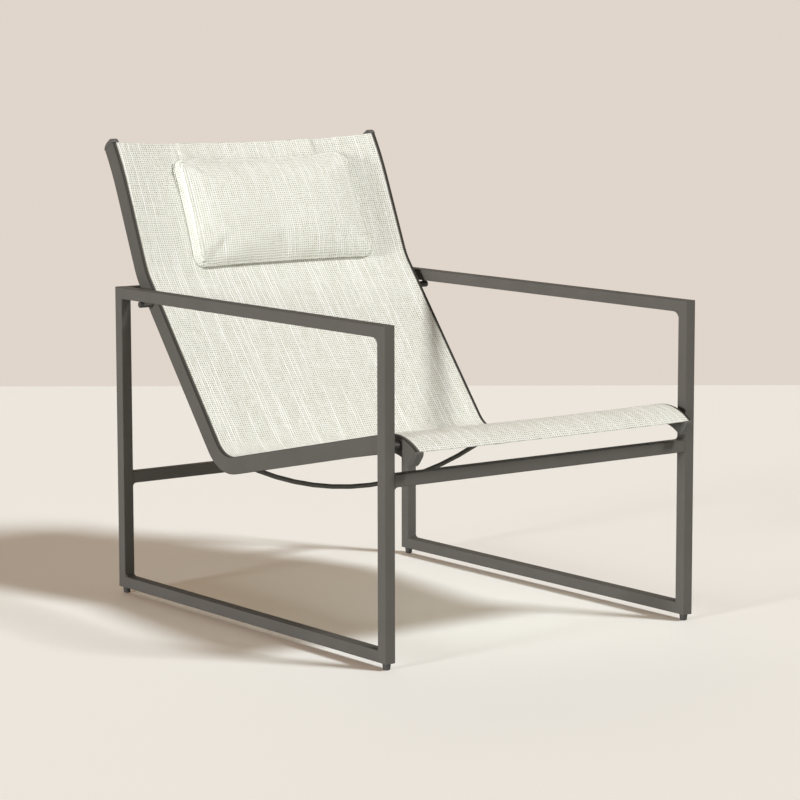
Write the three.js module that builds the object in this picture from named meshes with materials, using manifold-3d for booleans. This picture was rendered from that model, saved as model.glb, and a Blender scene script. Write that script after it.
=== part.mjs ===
// Sling patio chair. Two arm frames of welded square tube are tied by three crossbars. A pair of bent
// rails hangs between them on two bolts and a cross rod, and holds a stretched sling. A headrest pillow
// lies on the sling and hangs from a flap, which runs over the sling's top edge to a weight behind it.
// Millimetres, +Z up, and the sitter faces -Y. The left side is at -X.
import * as THREE from "three";
import { mergeVertices } from "three/addons/utils/BufferGeometryUtils.js";
import Module from "manifold-3d";

// Clearances
const softGap = 0.3; // between cloth, cords or plugs and what holds them
const layerGap = 0.6; // between two layers of cloth
const boltGap = 0.3; // round a bolt or a rod in its hole
const overrun = 5; // how far a cutting shape runs past what it cuts
const bite = 0.4; // how far a weld or a plug reaches into the piece that carries it

// Arm frames and crossbars
const chairWidth = 700; // over the outer faces of the arm frames
const armHeight = 590; // floor to the top of the arms
const tube = 22; // square tube, outside
const tubeWall = 1.8;
const tubeEdgeRadius = 1.8;
const frontTopFillet = 15; // these four lie inside the window corners of an arm frame
const frontBottomFillet = 3;
const rearTopFillet = 4;
const rearBottomFillet = 9;
const barFillet = 7; // where a crossbar meets a leg
const rearBarHeight = 224; // floor to the middle of the rear crossbar
const barUnderBolt = 57; // middle of the front crossbar below the front bolts
const topBarGap = 5; // rear top crossbar behind the sling rails

// Feet
const footHeight = 12;
const footDiameter = 15;
const footTip = 13; // diameter at the floor
const footChamfer = 1.2;
const footStudDiameter = 6;
const footStudLength = 9;

// Sling rails: an extruded section on a bent centreline, from the front end to the top
const railDepth = 32;
const railWidth = 15;
const railGap = 16.5; // between the rail and the arm frame
const railWall = 1.8;
const railEdgeRadius = 1.6;
const grooveDiameter = 5.6; // for the sling's cord
const grooveMouth = 2.4;
const grooveLip = 1.6; // thickness of the metal over the groove
const lipStep = 1.2; // how far the outer lip stands over the inner one, on which the sling lies
const grooveOffset = 3.2; // from the middle of the rail toward the outside
const boltHeight = 382; // floor to the front bolts
const railNose = 37.4; // front end of the rail before the bolt
const noseRadius = 95;
const noseDropDegrees = 37.8;
const seatFallDegrees = 11.8;
const seatLength = 475.7; // straight stretch
const hipRadius = 73;
const lowerLeanDegrees = 38.7; // from upright
const lowerLength = 366.8;
const backBendRadius = 131;
const upperLeanDegrees = 23.1;
const upperLength = 153;
const headRadius = 630;
const headLeanDegrees = 31.6;

// Rail end caps. Their corners are quarter ellipses over their whole length.
const topCapLength = 9.5;
const topCapFrontRound = 5; // reach of the sitter's side corner along the rail's depth
const topCapBackRound = 19;
const frontCapLength = 6;
const frontCapRound = 10;
const capProud = 0.8; // past the rail's faces
const capEdgeRadius = 2;
const capPlugLength = 12;

// Front bolts, their nuts and spacers
const boltDiameter = 8;
const boltHeadDiameter = 14;
const boltHeadHeight = 4.4;
const boltSocket = 5;
const boltSocketDepth = 2.6;
const boltPastNut = 2;
const nutWidth = 13; // across flats
const nutHeight = 6.5;
const spacerDiameter = 16;
const hexSides = 6; // of a nut and of a key's socket

// Cross rod behind the back, under the arms
const rodDiameter = 12;
const rodWall = 1.5;
const rodSlingGap = 2; // least room to the sling in front of it
const rodUnderArm = 9.4; // how far each end reaches under its arm
const rodWeld = 1.5; // between the rod and the arm
const rodWeldWidth = 5;
const rodWeldLength = 7.5;
const rodWeldBite = 1;
const rodPlugFlange = 1.6;
const rodPlugLength = 9;

// Bowed bars that keep the rails apart
const bowDiameter = 9;
const bowDepth = 71.5;
const bowPastSeat = 6; // seat bar behind the seat's straight stretch
const bowFromTop = 225; // back bar below the top of the rails
const bowForward = 5; // from the middle of the rail toward the sling
const bowPlateLength = 36;
const bowPlateHeight = 18;
const bowPlateThickness = 3;
const bowPlateRadius = 4;
const screwDiameter = 4;
const screwSpacing = 24;
const screwHead = 7;
const screwHeadHeight = 1.8;
const screwReach = 7;

// Sling
const slingThickness = 1.2;
const slingCordDiameter = 4.8;
const slingInset = 1; // cloth and cord stop short of the rail's ends
const slingSag = 22; // how far the middle of the top edge hangs behind the rails
const sagWayShares = [0, 0.12, 0.3, 0.44, 0.55, 0.72, 0.8, 1];
const sagDepthShares = [0.06, 0.14, 0.28, 0.3, 0.28, 0.3, 0.42, 1];

// Headrest pillow
const pillowWidth = 430;
const pillowHeight = 224;
const pillowFromTop = 37; // below the sling's top edge
const pillowGap = 0.9; // between its back and the flap's front
const pillowEdge = 27; // thickness along the seams
const pillowCrown = 12; // what its middle adds in front
const pillowBackCrown = 9; // and behind
const pillowBackReach = 60; // how far in from the seams its back lies flat on the sling
const pillowCorner = 18;
const pillowWaist = 4; // how far its sides draw in between the corners
const waistPower = 4; // how late toward its sides a place is drawn in
const crownPowerAcross = 3.2; // how steeply the crown falls to its ends
const crownPowerAlong = 2.2;

// Flap and its weight
const flapWidth = 320;
const flapThickness = 1;
const flapTuck = 70; // reach behind the pillow
const flapBack = 95; // length behind the sling
const flapCurvedShare = 0.35; // part of that in which it still follows the sling's bow
const pocketFromTop = 130; // top of the weight's pocket below the fold
const pocketHeight = 34;
const pocketWall = 1.2;
const pocketRadius = 2.4;
const pocketTail = 82; // cloth above the pocket, behind the flap
const weightHeight = 24;
const weightThickness = 5;
const weightEdgeRadius = 1;
const weightInset = 8; // short of the pocket's ends

// How finely round shapes are cut
const edgeSegments = 2;
const filletSegments = 4;
const roundSegments = 16;
const smallSegments = 10;
const cordSegments = 8;
const bendError = 0.15; // how far a chord may lie from its bend
const bowSegments = 14;
const spanSegments = 8;
const foldSegments = 6;
const crownSegments = 12;
const cornerSegments = 3;
const capSegments = 5;

// Finishes
const powderCoat = { color: 0x5f5a53, roughness: 0.55, metalness: 0.25 };
const capPlastic = { color: 0x4b4843, roughness: 0.5, metalness: 0 };
const blackPlastic = { color: 0x1d1c1b, roughness: 0.5, metalness: 0 };
const greyNylon = { color: 0x3a3835, roughness: 0.6, metalness: 0 };
const zincSteel = { color: 0xb4b2ad, roughness: 0.35, metalness: 0.9 };
const slingCloth = { color: 0xe4e5d7, roughness: 0.85, metalness: 0 };
const whiteCord = { color: 0xdcdccf, roughness: 0.7, metalness: 0 };

const wasm = await Module();
wasm.setup();
const chair = new THREE.Group();

function add(name, geometry, finish) {
  const mesh = new THREE.Mesh(geometry, new THREE.MeshStandardMaterial(finish));
  mesh.name = name;
  chair.add(mesh);
  return mesh;
}

// A piece of the left side and its mirror image on the right
function addPair(name, geometry, finish) {
  add("left_" + name, geometry, finish);
  add("right_" + name, geometry, finish).scale.x = -1;
}

// Joins and cuts
function solid(geometry) {
  const bare = geometry.clone();
  bare.deleteAttribute("normal");
  bare.deleteAttribute("uv");
  const merged = mergeVertices(bare);
  const vertProperties = new Float32Array(merged.getAttribute("position").array);
  const triVerts = new Uint32Array(merged.getIndex().array);
  return new wasm.Manifold(new wasm.Mesh({ numProp: 3, vertProperties, triVerts }));
}

function geometryOf(body) {
  const mesh = body.getMesh();
  const geometry = new THREE.BufferGeometry();
  geometry.setAttribute("position", new THREE.BufferAttribute(mesh.vertProperties, mesh.numProp));
  geometry.setIndex(new THREE.BufferAttribute(mesh.triVerts, 1));
  return geometry;
}

function join(first, ...others) {
  return geometryOf(others.reduce((body, other) => body.add(solid(other)), solid(first)));
}

function cut(first, ...others) {
  return geometryOf(others.reduce((body, other) => body.subtract(solid(other)), solid(first)));
}

// Vectors, and stations: a place with the directions of a section's two axes
const vector = (x, y, z) => new THREE.Vector3(x, y, z);
const point = (x, y) => new THREE.Vector2(x, y);
const alongX = vector(1, 0, 0);
const alongY = vector(0, 1, 0);
const alongZ = vector(0, 0, 1);
const radians = THREE.MathUtils.degToRad;
const lerp = THREE.MathUtils.lerp;
const station = (place, u, v) => ({ place, u, v });

// Evenly spaced values from first to last
function spread(first, last, segments) {
  return Array.from({ length: segments + 1 }, (_, i) => lerp(first, last, i / segments));
}

// Value at a place of a line drawn through matching lists of places and values
function valueAt(places, values, place) {
  const i = Math.max(1, places.findIndex((p) => p >= place));
  return lerp(values[i - 1], values[i], (place - places[i - 1]) / (places[i] - places[i - 1]));
}

// One closed body over rings of points. Every ring holds the same loops, with the material on their
// left. flatLoops gives a ring's loops in the plane, so that the first and the last can be filled.
function bodyOver(rings, flatLoops) {
  const size = rings[0].length;
  const positions = rings.flat().flatMap((p) => p.toArray());
  const index = [];
  let start = 0;
  for (const loop of flatLoops(0)) {
    for (let row = 0; row + 1 < rings.length; row++) {
      for (let j = 0; j < loop.length; j++) {
        const a = row * size + start + j;
        const b = row * size + start + ((j + 1) % loop.length);
        index.push(a, b, b + size, a, b + size, a + size);
      }
    }
    start += loop.length;
  }
  const fill = (row) => {
    const loops = flatLoops(row);
    return THREE.ShapeUtils.triangulateShape(loops[0], loops.slice(1));
  };
  const last = rings.length - 1;
  for (const [a, b, c] of fill(0)) index.push(c, b, a);
  for (const triangle of fill(last)) index.push(...triangle.map((j) => last * size + j));
  const geometry = new THREE.BufferGeometry();
  geometry.setAttribute("position", new THREE.Float32BufferAttribute(positions, 3));
  geometry.setIndex(index);
  return geometry;
}

// A body through stations, walked along the cross product of their axes
function loft(stations, loopsAt) {
  const onto = (s, p) => s.place.clone().addScaledVector(s.u, p.x).addScaledVector(s.v, p.y);
  const rings = stations.map((s, i) => loopsAt(i).flat().map((p) => onto(s, p)));
  return bodyOver(rings, loopsAt);
}

const sweep = (loops, stations) => loft(stations, () => loops);

// Loops of a section. Outlines run anticlockwise, and a hole is an outline reversed.
function arc(x, y, radius, from, to, segments) {
  return spread(from, to, segments).map((turn) =>
    point(x + radius * Math.cos(turn), y + radius * Math.sin(turn)));
}

function rectangle(width, height, radius) {
  const x = width / 2 - radius;
  const y = height / 2 - radius;
  const quarter = Math.PI / 2;
  return [[x, -y], [x, y], [-x, y], [-x, -y]].flatMap(([cx, cy], i) =>
    arc(cx, cy, radius, (i - 1) * quarter, i * quarter, edgeSegments));
}

function circle(diameter, segments) {
  const step = (2 * Math.PI) / segments;
  return arc(0, 0, diameter / 2, step / 2, 2 * Math.PI - step / 2, segments - 1);
}

const moved = (loop, x, y) => loop.map((p) => point(p.x + x, p.y + y));

function tubeLoops() {
  const inside = tube - 2 * tubeWall;
  return [
    rectangle(tube, tube, tubeEdgeRadius),
    rectangle(inside, inside, tubeEdgeRadius / 2).reverse(),
  ];
}

// A straight bar or hole from one point to another
function bar(loops, from, to) {
  const along = to.clone().sub(from).normalize();
  const side = Math.abs(along.x) > Math.SQRT1_2 ? alongY : alongX;
  const u = side.clone().cross(along).normalize();
  const v = along.clone().cross(u);
  return sweep(loops, [station(from, u, v), station(to, u, v)]);
}

// A round bar or hole along X through a place on the YZ plane
function crossBar(diameter, place, fromX, toX, segments = roundSegments) {
  const at = (x) => vector(x, place.y, place.z);
  return bar([circle(diameter, segments)], at(fromX), at(toX));
}

// A square tube between two corners of a frame, mitred at both
function mitredTube(from, to, outward) {
  const along = to.clone().sub(from).normalize();
  const v = along.clone().cross(outward);
  return sweep(tubeLoops(), [
    station(from, outward.clone().sub(along), v),
    station(to, outward.clone().add(along), v),
  ]);
}

// A weld in a corner. own points away from the piece that carries it, other away from its neighbour.
function fillet(corner, own, other, radius) {
  const round = arc(radius, radius, radius, 1.5 * Math.PI, Math.PI, filletSegments);
  const loop = [point(-bite, 0), ...round, point(-bite, radius)];
  const across = own.clone().cross(other);
  const half = tube / 2 - tubeEdgeRadius;
  const place = (t) => corner.clone().addScaledVector(across, t);
  return sweep([loop], [station(place(-half), own, other), station(place(half), own, other)]);
}

// The rails' centreline in the YZ plane: points with their heading and the way walked to them
function walkRail() {
  const at = { y: 0, z: 0, heading: radians(noseDropDegrees), way: 0 };
  const line = [{ ...at }];
  const straight = (length) => {
    at.y += length * Math.cos(at.heading);
    at.z += length * Math.sin(at.heading);
    at.way += length;
    line.push({ ...at });
  };
  const bend = (radius, heading) => {
    const from = { ...at };
    const side = Math.sign(heading - from.heading) * radius;
    const longestStep = 2 * Math.acos(1 - bendError / radius);
    const steps = Math.ceil(Math.abs(heading - from.heading) / longestStep);
    for (const angle of spread(from.heading, heading, steps).slice(1)) {
      at.heading = angle;
      at.y = from.y + side * (Math.sin(angle) - Math.sin(from.heading));
      at.z = from.z - side * (Math.cos(angle) - Math.cos(from.heading));
      at.way = from.way + side * (angle - from.heading);
      line.push({ ...at });
    }
  };
  const upright = Math.PI / 2;
  bend(noseRadius, -radians(seatFallDegrees));
  straight(seatLength);
  bend(hipRadius, upright - radians(lowerLeanDegrees));
  straight(lowerLength);
  bend(backBendRadius, upright - radians(upperLeanDegrees));
  straight(upperLength);
  bend(headRadius, upright - radians(headLeanDegrees));
  return line;
}

// The first place on a line, past a given way, where one of its values climbs to a target
function whereOn(line, key, target, past = 0) {
  const i = line.findIndex((b, j) =>
    j > 0 && b.way > past && b[key] >= target && b[key] > line[j - 1][key]);
  const [a, b] = [line[i - 1], line[i]];
  const share = (target - a[key]) / (b[key] - a[key]);
  return Object.fromEntries(Object.keys(a).map((k) => [k, lerp(a[k], b[k], share)]));
}

// The line hangs on the front bolt, which passes through the middle of the front leg
const frontY = tube / 2;
const walked = walkRail();
const atBolt = whereOn(walked, "y", railNose);
const railLine = walked.map((p) => ({
  ...p,
  y: p.y - atBolt.y + frontY,
  z: p.z - atBolt.z + boltHeight,
}));
const railEnd = railLine.at(-1).way;
const hipWay = whereOn(railLine, "heading", 0).way;
const seatEndWay = noseRadius * radians(noseDropDegrees + seatFallDegrees) + seatLength;
const railAt = (way) => whereOn(railLine, "way", way);
const backAt = (height) => whereOn(railLine, "z", height, hipWay);
const headingAt = (p) => vector(0, Math.cos(p.heading), Math.sin(p.heading));
const normalAt = (p) => vector(0, -Math.sin(p.heading), Math.cos(p.heading));
const pointOn = (p, x, out) => vector(x, p.y, p.z).addScaledVector(normalAt(p), out);

// Places that the pieces share
const innerX = tube - chairWidth / 2; // inner face of the left arm frame
const armX = innerX - tube / 2;
const railOuterX = innerX + railGap;
const railX = railOuterX + railWidth / 2;
const railInnerX = railOuterX + railWidth;
const slotX = railX - grooveOffset;
const runnerZ = footHeight + tube / 2;
const armZ = armHeight - tube / 2;
const atArmTop = backAt(armHeight);
const rearY = atArmTop.y + railDepth / 2 / Math.sin(atArmTop.heading) + topBarGap + tube / 2;
const boltPlace = vector(0, frontY, boltHeight);
const boltHole = boltDiameter + 2 * boltGap;
const innerLip = railDepth / 2 - lipStep;
const grooveMiddle = innerLip - grooveLip - grooveDiameter / 2;
const cavityTop = grooveMiddle - grooveDiameter / 2 - railWall;
const cavityBottom = railWall - railDepth / 2;
const slingBack = innerLip + softGap; // over the rails' centreline
const slingFront = slingBack + slingThickness;
const rodZ = armHeight - tube - rodWeld - rodDiameter / 2;
const onRod = backAt(rodZ);
const roomAtRod = slingBack - sagAt(onRod.way, 0) - rodSlingGap - rodDiameter / 2;
const rodBehind = Math.max(0, -roomAtRod) / Math.sin(onRod.heading); // where the sling hangs too deep
const rodPlace = vector(0, onRod.y + rodBehind, rodZ);
const rodEndX = innerX - rodUnderArm;
const slingTopWay = railEnd - slingInset;
const pillowTopWay = slingTopWay - pillowFromTop;
const seatBow = bowPlaces(railAt(seatEndWay + bowPastSeat), alongZ.clone().negate());
const onBack = railAt(railEnd - bowFromTop);
const backBow = bowPlaces(onBack, normalAt(onBack).negate());

// Where a bowed bar and its screws meet the rails. away is the direction of its bow.
function bowPlaces(on, away) {
  const along = away.clone().cross(alongX);
  const middle = vector(0, on.y, on.z).addScaledVector(away, -bowForward);
  const screws = [-1, 1].map((side) =>
    middle.clone().addScaledVector(along, (side * screwSpacing) / 2));
  return { away, along, middle, screws };
}

// Stations along the rails' line: u is the normal on the sitter's side, v is +X
function railStations(x, from, to) {
  const between = railLine.filter((p) => p.way > from && p.way < to);
  return [railAt(from), ...between, railAt(to)].map((p) =>
    station(vector(x, p.y, p.z), normalAt(p), alongX));
}

// How far the sling hangs behind the rails, by the way along them and the distance from the middle
function sagAt(way, x) {
  const depth = slingSag * valueAt(sagWayShares, sagDepthShares, way / railEnd);
  return depth * Math.max(0, 1 - (x / railInnerX) ** 2);
}

function armFrames() {
  const corner = (y, z) => vector(armX, y, z);
  const down = alongZ.clone().negate();
  const forward = alongY.clone().negate();
  const footHole = [circle(footStudDiameter + 2 * boltGap, smallSegments)];
  const footHoles = [frontY, rearY].map((y) =>
    bar(footHole, corner(y, footHeight - overrun), corner(y, footHeight + overrun)));
  const runner = mitredTube(corner(frontY, runnerZ), corner(rearY, runnerZ), down);
  addPair("floor_runner", cut(runner, ...footHoles), powderCoat);
  addPair("arm", mitredTube(corner(frontY, armZ), corner(rearY, armZ), alongZ), powderCoat);

  const leg = (y, outward, topFillet, bottomFillet) => {
    const inward = outward.clone().negate();
    const face = y + (inward.y * tube) / 2;
    const post = mitredTube(corner(y, runnerZ), corner(y, armZ), outward);
    const top = fillet(corner(face, armZ - tube / 2), inward, down, topFillet);
    const bottom = fillet(corner(face, runnerZ + tube / 2), inward, alongZ, bottomFillet);
    return join(post, top, bottom);
  };
  const hole = crossBar(boltHole, boltPlace, innerX - tubeWall - bite, innerX + overrun);
  const frontLeg = leg(frontY, forward, frontTopFillet, frontBottomFillet);
  addPair("front_leg", cut(frontLeg, hole), powderCoat);
  addPair("rear_leg", leg(rearY, alongY, rearTopFillet, rearBottomFillet), powderCoat);
}

// A crossbar between the arm frames. sides says whether its welds lie above it (1) or below it (-1).
function crossbar(name, y, z, sides) {
  const ends = [innerX, -innerX].map((x) => vector(x, y, z));
  const square = sweep(tubeLoops(), ends.map((place) => station(place, alongY, alongZ)));
  const welds = sides.flatMap((side) => ends.map((end) => {
    const own = alongZ.clone().multiplyScalar(side);
    const other = alongX.clone().multiplyScalar(-Math.sign(end.x));
    return fillet(end.clone().addScaledVector(own, tube / 2), own, other, barFillet);
  }));
  add(name, join(square, ...welds), powderCoat);
}

function feet() {
  const outline = [
    [0, 0],
    [footTip / 2 - footChamfer, 0],
    [footTip / 2, footChamfer],
    [footDiameter / 2, footHeight],
    [footStudDiameter / 2, footHeight],
    [footStudDiameter / 2, footHeight + footStudLength],
    [0, footHeight + footStudLength],
  ].map(([r, z]) => point(r, z));
  for (const [name, y] of [["front_foot", frontY], ["rear_foot", rearY]]) {
    const foot = new THREE.LatheGeometry(outline, roundSegments);
    foot.rotateX(Math.PI / 2);
    foot.translate(armX, y, 0);
    addPair(name, foot, greyNylon);
  }
}

// The rail's section: x runs toward the sitter, y toward the middle of the chair
function cavityLoop(clearance) {
  const depth = cavityTop - cavityBottom - 2 * clearance;
  const width = railWidth - 2 * railWall - 2 * clearance;
  return moved(rectangle(depth, width, railEdgeRadius / 2), (cavityTop + cavityBottom) / 2, 0);
}

function railLoops() {
  const open = Math.asin(grooveMouth / grooveDiameter);
  const groove = arc(0, 0, grooveDiameter / 2, -open, open - 2 * Math.PI, cordSegments);
  const lip = (height, side) => point(height, (side * grooveMouth) / 2 - grooveOffset);
  const corners = rectangle(railDepth, railWidth, railEdgeRadius);
  const corner = edgeSegments + 1; // points in each corner: outer lip, inner lip, and the two behind
  const outline = [
    lip(railDepth / 2, -1),
    ...moved(groove, grooveMiddle, -grooveOffset),
    lip(innerLip, 1),
    ...moved(corners.slice(corner, 2 * corner), -lipStep, 0),
    ...corners.slice(2 * corner),
    ...corners.slice(0, corner),
  ];
  return [outline, cavityLoop(0).reverse()];
}

function screwHole(place, fromX, toX) {
  return crossBar(screwDiameter + 2 * boltGap, place, fromX, toX, smallSegments);
}

function slingRails() {
  const body = sweep(railLoops(), railStations(railX, 0, railEnd));
  const past = [railOuterX - overrun, railInnerX + overrun];
  const holes = [
    crossBar(boltHole, boltPlace, ...past),
    crossBar(rodDiameter + 2 * boltGap, rodPlace, ...past),
    ...[...seatBow.screws, ...backBow.screws].map((place) =>
      screwHole(place, railX, railInnerX + overrun)),
  ];
  addPair("sling_rail", cut(body, ...holes), powderCoat);
}

// A cap's outline from the side: x runs toward the sitter and y out of the rail's end
function capLoop(length, frontRound, backRound, inset) {
  const half = railDepth / 2 + capProud - inset;
  const reach = length - inset;
  const corner = (side, round) => spread(0, Math.PI / 2, capSegments).map((turn) =>
    point(side * (half - round * (1 - Math.cos(turn))), reach * Math.sin(turn)));
  return [...corner(1, frontRound), ...corner(-1, backRound).reverse()];
}

// A cap on one end of the rail. outward is 1 at the top and -1 at the front.
function railCap(name, way, outward, length, frontRound, backRound) {
  const on = railAt(way);
  const out = headingAt(on).multiplyScalar(outward);
  const edge = spread(0, Math.PI / 2, edgeSegments).map((turn) =>
    [capEdgeRadius * (1 - Math.cos(turn)), capEdgeRadius * (1 - Math.sin(turn))]);
  const slices = [
    ...edge.map(([into, inset]) => ({ x: railOuterX - capProud + into, inset })),
    ...edge.toReversed().map(([into, inset]) => ({ x: railInnerX + capProud - into, inset })),
  ];
  if (outward > 0) slices.reverse();
  const stations = slices.map(({ x }) => station(pointOn(on, x, 0), normalAt(on), out));
  const shell = loft(stations, (i) => [capLoop(length, frontRound, backRound, slices[i].inset)]);
  const inside = way - outward * capPlugLength;
  const plugStations = railStations(railX, Math.min(way, inside), Math.max(way, inside));
  plugStations.at(outward < 0 ? 0 : -1).place.addScaledVector(out, bite);
  addPair(name, join(shell, sweep([cavityLoop(softGap)], plugStations)), capPlastic);
}

function frontFixings() {
  const headX = railInnerX + boltHeadHeight;
  const nutX = innerX - tubeWall;
  const boltEndX = nutX - nutHeight - boltPastNut;
  const shank = crossBar(boltDiameter, boltPlace, boltEndX, railInnerX + bite);
  const head = crossBar(boltHeadDiameter, boltPlace, railInnerX, headX);
  const socketX = [headX - boltSocketDepth, headX + overrun];
  const socket = crossBar(boltSocket, boltPlace, ...socketX, hexSides);
  addPair("front_bolt", cut(join(shank, head), socket), zincSteel);

  const hole = crossBar(boltHole, boltPlace, boltEndX, railOuterX + overrun);
  const spacer = crossBar(spacerDiameter, boltPlace, innerX, railOuterX);
  addPair("front_spacer", cut(spacer, hole), blackPlastic);
  const overCorners = nutWidth / Math.cos(Math.PI / hexSides);
  const nut = crossBar(overCorners, boltPlace, nutX - nutHeight, nutX, hexSides);
  addPair("front_nut", cut(nut, hole), zincSteel);
}

// The rod under the arms, welded to both, with a plug in each end
function backRod() {
  const bore = rodDiameter - 2 * rodWall;
  const loops = [circle(rodDiameter, roundSegments), circle(bore, roundSegments).reverse()];
  const at = (x) => vector(x, rodPlace.y, rodPlace.z);
  const weldLoop = [rectangle(rodWeldLength, rodWeldWidth, rodWeldBite)];
  const welds = [1, -1].map((side) => {
    const low = at(side * (rodEndX + rodWeldLength / 2));
    const high = low.clone().setZ(armHeight - tube);
    low.z += rodDiameter / 2 - rodWeldBite;
    return sweep(weldLoop, [low, high].map((place) => station(place, alongX, alongY)));
  });
  add("back_rod", join(bar(loops, at(rodEndX), at(-rodEndX)), ...welds), powderCoat);

  const flange = crossBar(rodDiameter, rodPlace, rodEndX - rodPlugFlange, rodEndX);
  const plug = crossBar(bore - 2 * softGap, rodPlace, rodEndX - bite, rodEndX + rodPlugLength);
  addPair("rod_plug", join(flange, plug), blackPlastic);
}

function bowBar(name, { away, along, middle, screws }) {
  const faceX = railInnerX + bowPlateThickness;
  const half = Math.abs(faceX) + bite;
  const radius = (half ** 2 + bowDepth ** 2) / (2 * bowDepth);
  const endAngle = Math.asin(half / radius);
  const stations = spread(-endAngle, endAngle, bowSegments).map((angle) => {
    const across = alongX.clone().multiplyScalar(Math.sin(angle));
    const radial = across.clone().addScaledVector(away, Math.cos(angle));
    const place = middle.clone().addScaledVector(away, bowDepth - radius);
    place.addScaledVector(radial, radius);
    const isEnd = Math.abs(angle) === endAngle;
    return station(place, along, isEnd ? away.clone().divideScalar(Math.cos(angle)) : radial);
  });
  const plateLoop = [rectangle(bowPlateLength, bowPlateHeight, bowPlateRadius)];
  const plates = [[railInnerX, faceX], [-faceX, -railInnerX]].map((ends) =>
    sweep(plateLoop, ends.map((x) => station(middle.clone().setX(x), along, away))));
  const bow = join(sweep([circle(bowDiameter, smallSegments)], stations), ...plates);
  const holes = screws.map((place) =>
    screwHole(place, railInnerX - overrun, overrun - railInnerX));
  add(name + "_bar", cut(bow, ...holes), powderCoat);

  screws.forEach((place, i) => {
    const shank = crossBar(screwDiameter, place, faceX - screwReach, faceX + bite, smallSegments);
    const head = crossBar(screwHead, place, faceX, faceX + screwHeadHeight, smallSegments);
    addPair(name + "_screw_" + (i + 1), join(shank, head), zincSteel);
  });
}

// The sling's section across the chair: the cloth, with a tab into each rail's groove
function slingLoop(way) {
  const half = slingThickness / 2;
  const tabEnd = grooveMiddle + slingCordDiameter / 2 + softGap;
  const span = spread(railInnerX, -railInnerX, spanSegments);
  const on = (out) => (x) => point(out - sagAt(way, x), x);
  return [
    ...[slotX - half, ...span, half - slotX].map(on(slingFront)),
    point(tabEnd, half - slotX),
    point(tabEnd, -half - slotX),
    ...[-half - slotX, ...span.toReversed(), slotX + half].map(on(slingBack)),
    point(tabEnd, slotX + half),
    point(tabEnd, slotX - half),
  ];
}

function sling() {
  const bends = railLine.map((p) => p.way);
  const folds = sagWayShares.map((share) => share * railEnd);
  const inside = [...bends, ...folds].filter((way) => way > slingInset && way < slingTopWay);
  const ways = [slingInset, ...new Set(inside.sort((a, b) => a - b)), slingTopWay];
  const stations = ways.map(railAt).map((p) => station(pointOn(p, 0, 0), normalAt(p), alongX));
  add("sling", loft(stations, (i) => [slingLoop(ways[i])]), slingCloth);

  const cord = moved(circle(slingCordDiameter, cordSegments), grooveMiddle, -grooveOffset);
  addPair("sling_cord", sweep([cord], railStations(railX, slingInset, slingTopWay)), whiteCord);
}

// A pillow with flat gussets, a crowned front and a back that follows the sling's bow
function pillow() {
  const halfWidth = pillowWidth / 2;
  const halfHeight = pillowHeight / 2;
  const middleWay = pillowTopWay - halfHeight;
  const on = railAt(middleWay);
  const nearSeam = (inset) => Math.max(0, 1 - inset / pillowBackReach) ** 2;
  const front = (x, s) =>
    pillowBackCrown + pillowEdge + pillowCrown
    * (1 - Math.abs(x / halfWidth) ** crownPowerAcross)
    * (1 - Math.abs(s / halfHeight) ** crownPowerAlong);
  const back = (x, s) => {
    const flat = (1 - nearSeam(halfWidth - Math.abs(x))) * (1 - nearSeam(halfHeight - Math.abs(s)));
    return pillowBackCrown * (1 - flat);
  };
  // drawn-in side, for a place at a share of its axis and a share of the other one
  const waisted = (share, other) =>
    pillowWaist * Math.sign(share) * share ** waistPower * (1 - other ** 2);
  const inSpace = (x, s, out) => {
    const across = x - waisted(x / halfWidth, s / halfHeight);
    const up = s - waisted(s / halfHeight, x / halfWidth);
    const base = slingFront + layerGap + flapThickness + pillowGap;
    const over = base + out - sagAt(middleWay + up, across);
    return pointOn(on, across, over).addScaledVector(headingAt(on), up);
  };

  const quarter = Math.PI / 2;
  const corner = spread(0, quarter, cornerSegments).map((turn) => ({
    x: halfWidth - pillowCorner * (1 - Math.cos(turn)),
    reach: halfHeight - pillowCorner * (1 - Math.sin(turn)),
  }));
  const between = spread(pillowCorner - halfWidth, halfWidth - pillowCorner, spanSegments);
  const sections = [
    ...corner.map(({ x, reach }) => ({ x: -x, reach })),
    ...between.slice(1, -1).map((x) => ({ x, reach: halfHeight })),
    ...corner.toReversed(),
  ];
  const loops = sections.map(({ x, reach }) => {
    const steps = spread(-quarter, quarter, crownSegments).map((turn) => reach * Math.sin(turn));
    const onBack = steps.map((s) => point(s, back(x, s)));
    return [...onBack, ...steps.toReversed().map((s) => point(s, front(x, s)))];
  });
  const rings = sections.map(({ x }, i) => loops[i].map((p) => inSpace(x, p.x, p.y)));
  add("headrest_pillow", bodyOver(rings, (row) => [loops[row]]), slingCloth);
}

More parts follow.
